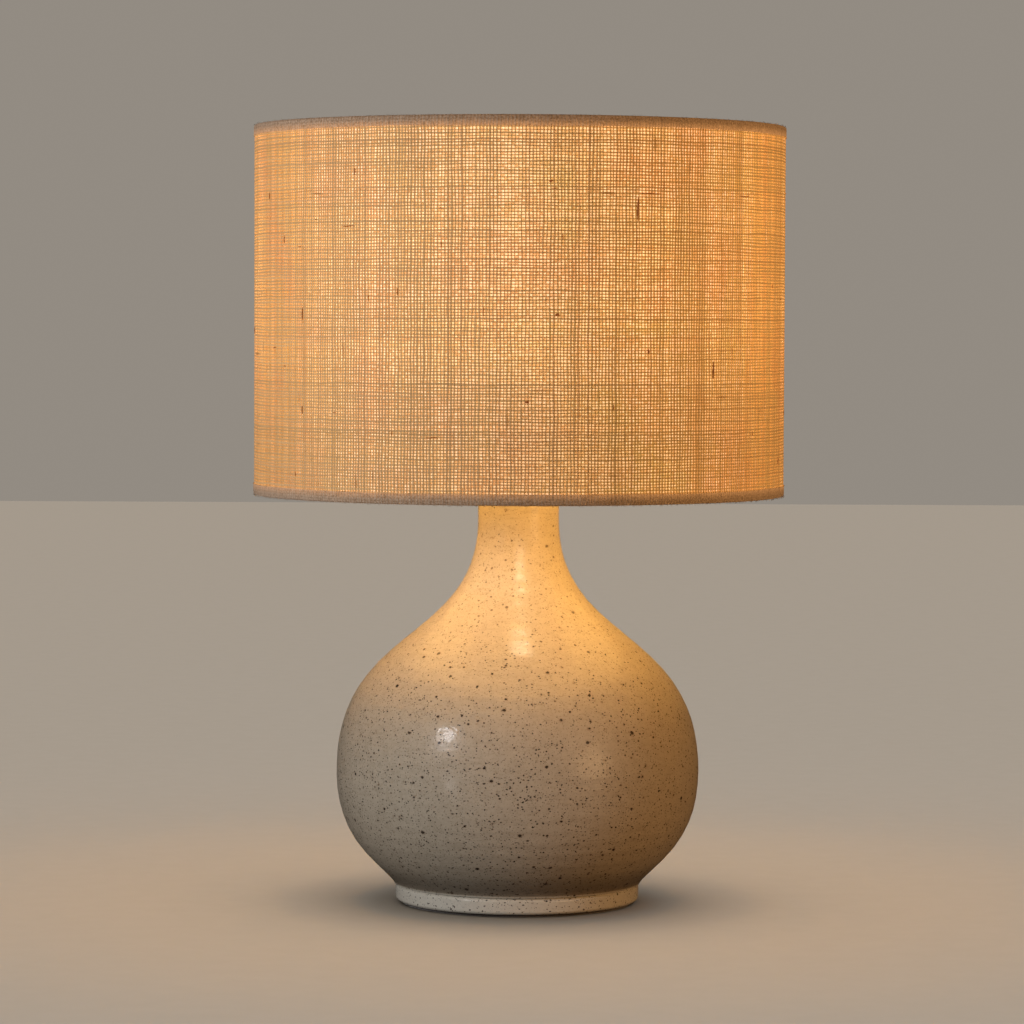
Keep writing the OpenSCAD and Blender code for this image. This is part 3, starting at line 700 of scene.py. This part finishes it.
def grid_faces(rows, columns, close_rows=True):
    """Quads of a grid whose columns close on themselves, and whose rows do if asked."""
    faces = []
    for i in range(rows if close_rows else rows - 1):
        for j in range(columns):
            k, n = (j + 1) % columns, (i + 1) % rows
            faces.append((i * columns + j, i * columns + k, n * columns + k, n * columns + j))
    return faces


def capped_faces(rows, columns):
    """The faces of a tube of rows, with its two ends closed."""
    faces = grid_faces(rows, columns, close_rows=False)
    faces.append(tuple(range(columns - 1, -1, -1)))
    faces.append(tuple((rows - 1) * columns + j for j in range(columns)))
    return faces


def swept(path, radii, sides):
    """Points and faces of a closed tube along a path, with one radius for each of its points."""
    points, last = [], len(path) - 1
    side = None
    for i, here in enumerate(path):
        run = (path[min(i + 1, last)] - path[max(i - 1, 0)]).normalized()
        if side is None:
            side = run.orthogonal().normalized()
        side = (side - run * side.dot(run)).normalized()
        other = run.cross(side)
        for j in range(sides):
            a = 2 * math.pi * j / sides
            points.append(here + radii[i] * (math.cos(a) * side + math.sin(a) * other))
    return points, capped_faces(len(path), sides)


def joined(name, parts, material):
    """One object from several lists of points and faces."""
    points, faces = [], []
    for some_points, some_faces in parts:
        start = len(points)
        points += some_points
        faces += [tuple(start + i for i in face) for face in some_faces]
    return piece(name, points, faces, material)


def ripple(a, terms):
    """A sum of whole waves round the axis: (waves, size, phase) each."""
    return sum(size * math.sin(waves * a + phase) for waves, size, phase in terms)


# ---------------------------------------------------------------- base

def vessel_outline():
    """The vessel's outer side from foot to lip, read from the CAD node, its facets smoothed out."""
    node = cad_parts["ceramic_body"]
    tree = BVHTree.FromPolygons([v.co for v in node.data.vertices],
                                [p.vertices for p in node.data.polygons])
    aim = Vector((-math.cos(0.4), -math.sin(0.4), 0))

    def radius(z):
        """Radius of the outer side at a height."""
        hit = tree.ray_cast(-aim + Vector((0, 0, z)), aim)[0]
        return math.hypot(hit.x, hit.y)

    foot_top = 15 * MM
    foot = [vessel_low[2] + 0.05 * MM]
    while foot[-1] < foot_top:
        foot.append(foot[-1] + 0.4 * MM)
    rise = 1.5 * MM
    count = int((vessel_high[2] - 0.2 * MM - foot[-1]) / rise)
    body = [foot[-1] + rise * (i + 1) for i in range(count)]
    side = np.array([radius(z) for z in body])
    for _ in range(16):
        side[1:-1] = 0.25 * side[:-2] + 0.5 * side[1:-1] + 0.25 * side[2:]
    return [(radius(z), z) for z in foot] + list(zip(side.tolist(), body))


def thrown(a, r, z):
    """The unevenness of a hand-thrown wall: a spiral left by fingers, and a slightly oval belly."""
    above_foot = min(1.0, max(0.0, (z - 18 * MM) / (20 * MM)))
    below_lip = min(1.0, max(0.0, (290 * MM - z) / (30 * MM)))
    clear = above_foot * below_lip
    press = 0.6 + 0.4 * math.sin(z / (23 * MM))
    spiral = 0.10 * MM * math.sin(2 * math.pi * z / (8.5 * MM) - a) * press
    wide = 0.05 * MM * math.sin(2 * math.pi * z / (31 * MM) + a)
    return clear * (spiral + wide + 0.0014 * r * math.sin(2 * a + 0.8))


def make_vessel():
    """The hollow vessel: one closed section of recess, foot, outside, lip, inside and floor."""
    outside = vessel_outline()
    lip_r, lip_z = outside[-1][0], vessel_high[2]
    inside = []
    for i in range(len(outside) - 2, 1, -1):
        (r0, z0), (r1, z1) = outside[i - 1], outside[i + 1]
        lean = math.hypot(r1 - r0, z1 - z0) / (z1 - z0)
        r, z = outside[i][0] - WALL * lean, outside[i][1]
        if FLOOR_Z + 3 * MM < z < lip_z - 2 * MM:
            inside.append((r, z))
    lip = [(lip_r - WALL / 2 + WALL / 2 * math.cos(t), lip_z - LIP_RISE + LIP_RISE * math.sin(t))
           for t in (math.radians(d) for d in range(15, 180, 15))]
    recess = [(ROD_HOLE_R, RECESS_Z), (RECESS_R - RECESS_CORNER, RECESS_Z),
              (RECESS_R, RECESS_Z - RECESS_CORNER)]
    foot_inner = [(RECESS_R, vessel_low[2] + 0.6 * MM), (RECESS_R + 0.8 * MM, vessel_low[2])]
    floor = [(inside[-1][0] - 3 * MM, FLOOR_Z), (ROD_HOLE_R, FLOOR_Z)]
    section = recess + foot_inner + outside + lip + inside + floor
    vessel = piece("glazed_vessel", turned(section, VESSEL_SIDES, thrown),
                   grid_faces(len(section), VESSEL_SIDES), MATERIALS["stoneware"])
    cut_cord_hole(vessel)
    vessel.data.set_sharp_from_angle(angle=math.radians(38))
    return finish_piece(vessel, "base", "stoneware", "ceramic_body")


def cut_cord_hole(vessel):
    """Opens the foot ring where the grommet sits."""
    z = (grommet_low[2] + grommet_high[2]) / 2
    path = [Vector((0, y, z)) for y in (grommet_low[1] - 4 * MM, grommet_high[1] + 4 * MM)]
    points, faces = swept(path, [CORD_HOLE_R] * 2, 32)
    drill = piece("drill", points, faces, MATERIALS["stoneware"])
    cut = vessel.modifiers.new("cord_hole", "BOOLEAN")
    cut.operation = "DIFFERENCE"
    cut.solver = "EXACT"
    cut.object = drill
    now = bpy.context.evaluated_depsgraph_get()
    vessel.data = bpy.data.meshes.new_from_object(vessel.evaluated_get(now))
    vessel.modifiers.clear()
    bpy.data.objects.remove(drill)


def make_felt():
    """A cut disc of felt with a soft, slightly uneven edge."""
    r, top = felt_high[0], felt_high[2]
    rim_only_r = 70 * MM
    section = [(1 * MM, 0.0)] + [(r * i / 12, 0.05 * MM) for i in range(1, 12)]
    section += [(r - 0.6 * MM, 0.02 * MM), (r - 0.1 * MM, 0.3 * top), (r, 0.6 * top)]
    section += [(r - 0.4 * MM, top)] + [(r * i / 12, top) for i in range(11, 0, -1)]
    section += [(1 * MM, top)]
    terms = [(3, 0.15 * MM, 0.3), (11, 0.08 * MM, 1.2), (47, 0.05 * MM, 2.0), (101, 0.04 * MM, 0.6)]
    sides = 288

    def rim(a, r, _):
        """The cut edge is uneven, and the rest of the disc isn't moved."""
        return ripple(a, terms) if r > rim_only_r else 0.0

    disc = piece("felt_disc", turned(section, sides, rim), grid_faces(len(section), sides),
                 MATERIALS["felt"], sharp_above=50)
    return finish_piece(disc, "base", "felt", "felt_pad")


# ---------------------------------------------------------------- shade

CLOTH_WAVES = [(2, 0.07 * MM, 0.4), (5, 0.05 * MM, 1.9), (9, 0.03 * MM, 4.0)]


def cloth_offset(a, _, z):
    """Cloth pasted on film lies a little unevenly, and never inside the film."""
    return ripple(a, CLOTH_WAVES) * (1 + 0.4 * math.sin(z / (70 * MM)))


def make_cloth(name, outer_r, inner_r, material):
    """A closed tube of cloth. Gaps in its two walls line up only where they are seen square on."""
    heights = [cloth_low[2] + (cloth_high[2] - cloth_low[2]) * i / CLOTH_ROWS
               for i in range(CLOTH_ROWS + 1)]
    section = [(outer_r, z) for z in heights] + [(inner_r, z) for z in reversed(heights)]
    return piece(name, turned(section, CLOTH_SIDES, cloth_offset),
                 grid_faces(len(section), CLOTH_SIDES), material, sharp_above=60)


def make_lap():
    """The strip at the back where the cloth's end is turned under and pasted over its beginning."""
    half = LAP / 2
    count = 10
    outline = [(-half + 2 * half * i / count, 1.0) for i in range(count + 1)]
    outline = [(-half - 0.3 * MM, 0.45)] + outline + [(half + 0.3 * MM, 0.45)]
    outline += [(half, 0.02), (-half, 0.02)]
    points = []
    for i in range(CLOTH_ROWS + 1):
        z = cloth_low[2] + 2 * MM + (cloth_high[2] - cloth_low[2] - 4 * MM) * i / CLOTH_ROWS
        for s, rise in outline:
            s += 0.25 * MM * math.sin(z / (17 * MM)) + 0.12 * MM * math.sin(z / (5 * MM))
            points.append(around(math.pi + s / CLOTH_R, CLOTH_R + 0.05 * MM + rise * LAP_T, z))
    faces = capped_faces(CLOTH_ROWS + 1, len(outline))
    lap = piece("linen_lap", points, faces, MATERIALS["linen"], sharp_above=50)
    return finish_piece(lap, "shade", "linen")


def inner_leg(turn, height, up):
    """Length of a hem's inner leg at an angle. The top hem's is slit at the spider's arms."""
    if up < 0:
        return height - LEG_GAP
    near = min(abs((turn - arm + math.pi) % (2 * math.pi) - math.pi) for arm in ARM_ANGLES)
    slit = SLIT_DEPTH * max(0.0, 1 - (near * HEM_INNER_R / SLIT_HALF) ** 4)
    return max(height - LEG_GAP - slit, HEM_CORNER + 0.4 * MM)


def folded(outer, down, length):
    """The hem's outer line in its section: up the outer leg, over the wire, down the inner leg."""
    steps = 4
    line = [(outer, -down * (1 - i / steps) - HEM_CORNER * i / steps) for i in range(steps)]
    for middle, first in ((outer - HEM_CORNER, 0), (HEM_INNER_R + HEM_CORNER, 90)):
        for degrees in range(first, first + 91, 18):
            t = math.radians(degrees)
            line.append((middle + HEM_CORNER * math.cos(t), -HEM_CORNER + HEM_CORNER * math.sin(t)))
    return line + [(HEM_INNER_R, -HEM_CORNER - (length - HEM_CORNER) * i / steps)
                   for i in range(1, steps + 1)]


def thickened(line, thick):
    """A closed section from an open line, by adding its offset to one side."""
    under = []
    for i, (r, z) in enumerate(line):
        r0, z0 = line[max(i - 1, 0)]
        r1, z1 = line[min(i + 1, len(line) - 1)]
        run = math.hypot(r1 - r0, z1 - z0)
        under.append((r - thick * (z1 - z0) / run, z + thick * (r1 - r0) / run))
    return line + under[::-1]


def make_hem(name, node, up):
    """A strip folded round the edge of the shade and its wire. up is 1 for the top hem and -1 for
    the bottom one."""
    low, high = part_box(node)
    edge = high[2] if up > 0 else low[2]
    height = high[2] - low[2]
    rng = random.Random(name)
    fray = [rng.uniform(-1, 1) for _ in range(HEM_SIDES)]
    bulges = [(7, 0.05 * MM, 0.5), (23, 0.04 * MM, 2.0), (61, 0.03 * MM, 1.0)]
    dips = [(5, 0.18 * MM, 1.0), (17, 0.10 * MM, 0.2)]
    points = []
    for j in range(HEM_SIDES):
        a = 2 * math.pi * j / HEM_SIDES
        outer = high[0] + ripple(a, bulges)
        down = height + 0.10 * MM * fray[j] + ripple(a, dips)
        length = inner_leg((a + math.pi) % (2 * math.pi), height, up)
        section = thickened(folded(outer, down, length), HEM_T)
        points += [around(a, r, edge + up * z) for r, z in section]
    hem = piece(name, points, grid_faces(HEM_SIDES, len(section)), MATERIALS["hem_linen"],
                sharp_above=60)
    return finish_piece(hem, "shade", "hem_linen", node)


def on_shade(degrees, z, out):
    """A point over the cloth: degrees to the right of the front, height, and distance out."""
    return Vector(around(math.radians(degrees), CLOTH_R + out, z))


# Knots of thick fibre: degrees from the front, height over the shade's lower edge, length and
# thickness in mm, and whether it stands upright
SLUBS = [
    (24.7, 187, 16, 1.5, True), (24.5, 168, 18, 0.45, True), (6.2, 204, 2.6, 1.6, False),
    (7.6, 120, 3.0, 1.9, False), (1.5, 65, 3.0, 1.8, False), (27.3, 97, 3.6, 1.5, True),
    (44.3, 85, 12, 1.2, True), (27.5, 197, 15, 0.8, False), (54.5, 197, 12, 0.8, False),
    (-38, 176, 11, 0.8, False), (-18, 42, 9, 0.8, False), (-52, 120, 8, 0.9, True),
]
SMALL_SLUBS = 60
SLUB_POINTS = 9
SLUB_OUT = 0.22 * MM


def make_slubs():
    """Spindles of thick fibre in the weave: the ones that show most, and a seeded scatter of small
    ones."""
    rng = random.Random(31)
    slubs = list(SLUBS)
    for _ in range(SMALL_SLUBS):
        slubs.append((rng.uniform(-180, 180), rng.uniform(14, 230), rng.uniform(2.0, 6.0),
                      rng.uniform(0.45, 0.8), rng.random() < 0.5))
    parts = []
    for degrees, height, length, thick, upright in slubs:
        middle = cloth_low[2] + height * MM
        path, radii = [], []
        for i in range(SLUB_POINTS):
            t = i / (SLUB_POINTS - 1) - 0.5
            slide = t * length * MM
            wobble = 0.12 * math.sin(7 * t + degrees) * MM
            sideways, lift = (wobble, slide) if upright else (slide, wobble)
            spot = degrees + math.degrees(sideways / CLOTH_R)
            path.append(on_shade(spot, middle + lift, SLUB_OUT))
            belly = math.sqrt(max(0.0, 1 - (2 * t) ** 2))
            uneven = 0.85 + 0.15 * math.sin(19 * t + height)
            radii.append(max(0.06 * MM, 0.5 * thick * MM * belly * uneven))
        parts.append(swept(path, radii, 10))
    slub = joined("linen_slubs", parts, slub_fibre())
    return finish_piece(slub, "shade", "linen")


HAIR_R = 0.055 * MM
HAIR_POINTS = 5


def make_fuzz():
    """Loose hairs and tiny loops along the hems' outer edges."""
    rng = random.Random(7)
    top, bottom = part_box("top_hem")[1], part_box("bottom_hem")[0]
    outer = top[0]
    edges = [(bottom[2], -1, 900, True), (top[2], 1, 350, True),
             (bottom[2] + 7 * MM, 1, 350, False), (top[2] - 7 * MM, -1, 350, False)]
    parts = []
    for edge, up, count, on_fold in edges:
        for _ in range(count):
            a = rng.uniform(0, 2 * math.pi)
            r = outer - (rng.uniform(0, 1.2) * MM if on_fold else -0.05 * MM)
            reach = rng.uniform(0.3, 1.1) * MM * (1.0 if on_fold else 0.6)
            side = rng.uniform(-1.6, 1.6) * MM
            loop = rng.random() < 0.5
            path = []
            for i in range(HAIR_POINTS):
                t = i / (HAIR_POINTS - 1)
                lift = reach * (math.sin(math.pi * t) if loop else t)
                out = r + 0.25 * MM * math.sin(3 * t + a * 9)
                z = edge + up * (lift - 0.15 * MM)
                path.append(Vector(around(a + side * t / outer, out, z)))
            parts.append(swept(path, [HAIR_R] * HAIR_POINTS, 3))
    fuzz = joined("hem_fuzz", parts, fuzz_fibre())
    return finish_piece(fuzz, "shade", "hem_linen")


# ---------------------------------------------------------------- studio

LAMP_MIDDLE = (0, 0, 0.13)
SHADE_MIDDLE = (0, 0, 0.36)
GLINT_AIM = (0.003, -0.066, 0.185)
GLINT_PLACE = (0.003, -0.066, 0.25)
GLINT_COLOUR = (1.0, 0.85, 0.6)
WHITE = (1.0, 0.97, 0.97)
COOL_WHITE = (1.0, 0.98, 1.0)
WARM_WHITE = (1.0, 0.97, 0.94)
AMBER = (1.0, 0.53, 0.21)

# Area lights: name, place, aim, size, watts, colour, and whether only dull ("dull") or only glossy
# ("gloss") reflections show them, or both
AREA_LIGHTS = [
    ("key", (-1.20, -1.23, 0.60), LAMP_MIDDLE, (1.0, 0.6), 14.5, WHITE, "dull"),
    ("fill", (1.37, -0.91, 0.40), LAMP_MIDDLE, (0.8, 0.7), 9.6, AMBER, "dull"),
    ("back", (0.25, 1.70, 0.50), LAMP_MIDDLE, (1.2, 0.8), 6.0, (1.0, 0.90, 0.80), "dull"),
    ("shade_key", (-1.47, -0.85, 0.45), SHADE_MIDDLE, (0.9, 0.6), 11.8, WHITE, "both"),
    ("shade_fill", (1.58, -0.42, 0.42), SHADE_MIDDLE, (0.8, 0.7), 8.5, AMBER, "both"),
    ("fill_gloss", (1.20, -1.12, 0.28), LAMP_MIDDLE, (0.7, 0.6), 5.2, (1.0, 0.62, 0.30), "gloss"),
    ("key_core", (-1.20, -1.08, 0.82), LAMP_MIDDLE, (0.17, 0.17), 4.8, COOL_WHITE, "gloss"),
    ("key_halo", (-1.20, -1.08, 0.72), LAMP_MIDDLE, (0.46, 0.46), 3.5, COOL_WHITE, "gloss"),
    ("key_tail", (-0.42, -0.52, 0.030), LAMP_MIDDLE, (0.06, 0.14), 0.14, WARM_WHITE, "gloss"),
    ("bulb_glint", GLINT_PLACE, GLINT_AIM, (0.026, 0.010), 0.013, GLINT_COLOUR, "gloss"),
]


def add_lamp(name, kind, energy, colour, place):
    """A light of a kind, in the scene. Returns its object."""
    lamp = bpy.data.lights.new(name, kind)
    lamp.energy = energy
    lamp.color = colour
    thing = bpy.data.objects.new(name, lamp)
    thing.location = place
    bpy.context.scene.collection.objects.link(thing)
    return thing


def area_light(name, place, aim, size, watts, colour, shows_in):
    """A soft oval light that faces its aim. The camera doesn't see it."""
    thing = add_lamp(name, "AREA", watts, colour, place)
    thing.data.shape = "ELLIPSE"
    thing.data.size, thing.data.size_y = size
    facing = (Vector(aim) - Vector(place)).to_track_quat("-Z", "Y").to_matrix().to_4x4()
    thing.matrix_world = Matrix.Translation(place) @ facing
    thing.visible_camera = False
    thing.visible_diffuse = shows_in != "gloss"
    thing.visible_glossy = shows_in != "dull"
    return thing


def link_light(lamp, things, only):
    """Lights only these things, or all but these."""
    group = bpy.data.collections.new(lamp.name + "_receivers")
    for thing in things:
        group.objects.link(thing)
    if not only:
        for entry in group.collection_objects:
            entry.light_linking.link_state = "EXCLUDE"
    lamp.light_linking.receiver_collection = group


def make_lights(floor, fabric):
    """A soft key from the front left, a broad warm fill from the front right and a weak back light.
    The shade has its own key and fill, further to its sides. A small light makes each glint. Then
    come an even soft light on the floor, and the bulb's own light."""
    lights = {row[0]: area_light(*row) for row in AREA_LIGHTS}
    for name in ("key", "fill", "back"):
        link_light(lights[name], fabric + [floor], only=False)
    for name in ("shade_key", "shade_fill"):
        link_light(lights[name], fabric, only=True)
    sun = add_lamp("floor_light", "SUN", FLOOR_SUN, (1.0, 0.96, 0.92), (0, 0, 2))
    sun.data.angle = math.radians(100)
    link_light(sun, [floor], only=True)
    bulb = add_lamp("bulb_light", "POINT", BULB_WATTS, BULB_COLOUR, (0, 0, BULB_Z))
    bulb.data.shadow_soft_size = BULB_R * 1.3
    bulb.visible_camera = False
    bulb.visible_transmission = False
    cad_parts["bulb_glass"].visible_shadow = False


def make_world():
    """A dim room, with a plain wall behind the lamp."""
    world = bpy.data.worlds.new("studio")
    world.use_nodes = True
    tree = world.node_tree
    tree.nodes.clear()
    path = tree.nodes.new("ShaderNodeLightPath")
    shown = tree.nodes.new("ShaderNodeMix")
    shown.data_type = "RGBA"
    shown.inputs[6].default_value = ROOM_GLOW
    shown.inputs[7].default_value = BACKDROP
    background = tree.nodes.new("ShaderNodeBackground")
    out = tree.nodes.new("ShaderNodeOutputWorld")
    tree.links.new(path.outputs["Is Camera Ray"], shown.inputs[0])
    tree.links.new(shown.outputs[2], background.inputs["Color"])
    tree.links.new(background.outputs[0], out.inputs["Surface"])
    bpy.context.scene.world = world


def make_floor():
    """A plain pale floor."""
    g = Graph("floor")
    grain = g.noise(0.02, 4)
    paint = g.surface(Base_Color=g.mix(grain, rgb("#c9c0b4"), rgb("#c4bbae")), Roughness=0.75,
                      Specular_IOR_Level=0.0)
    corners = [(x * FLOOR_HALF, y * FLOOR_HALF, 0) for x, y in ((-1, -1), (1, -1), (1, 1), (-1, 1))]
    floor = piece("floor", corners, [(0, 1, 2, 3)], paint)
    floor.visible_diffuse = False
    floor.visible_glossy = False
    return floor


def make_camera():
    """At the height of the shade's lower half, looking slightly down."""
    camera = bpy.data.cameras.new("camera")
    camera.lens = CAMERA_LENS
    camera.sensor_width = CAMERA_SENSOR
    thing = bpy.data.objects.new("camera", camera)
    look = (Matrix.Rotation(math.radians(90 - CAMERA_DOWN), 4, "X")
            @ Matrix.Rotation(math.radians(CAMERA_ROLL), 4, "Z"))
    thing.matrix_world = Matrix.Translation(CAMERA_PLACE) @ look
    bpy.context.scene.collection.objects.link(thing)
    bpy.context.scene.camera = thing


dress_cad_nodes()
make_camera()
make_world()
make_vessel()
make_felt()
cloth = make_cloth("linen_shade", CLOTH_R, LINER_R + 0.25 * MM, MATERIALS["linen"])
finish_piece(cloth, "shade", "linen", "shade_fabric")
depth = make_cloth("linen_middle", CLOTH_R - 0.22 * MM, CLOTH_R - 0.45 * MM,
                   linen("inner_linen", INNER_GAIN))
finish_piece(depth, "shade", "linen")
lap = make_lap()
top_tape = make_hem("top_tape", "top_hem", 1)
bottom_tape = make_hem("bottom_tape", "bottom_hem", -1)
slubs = make_slubs()
fuzz = make_fuzz()
make_lights(make_floor(), [cloth, depth, lap, top_tape, bottom_tape, slubs, fuzz])
bpy.context.scene.view_settings.view_transform = "Standard"
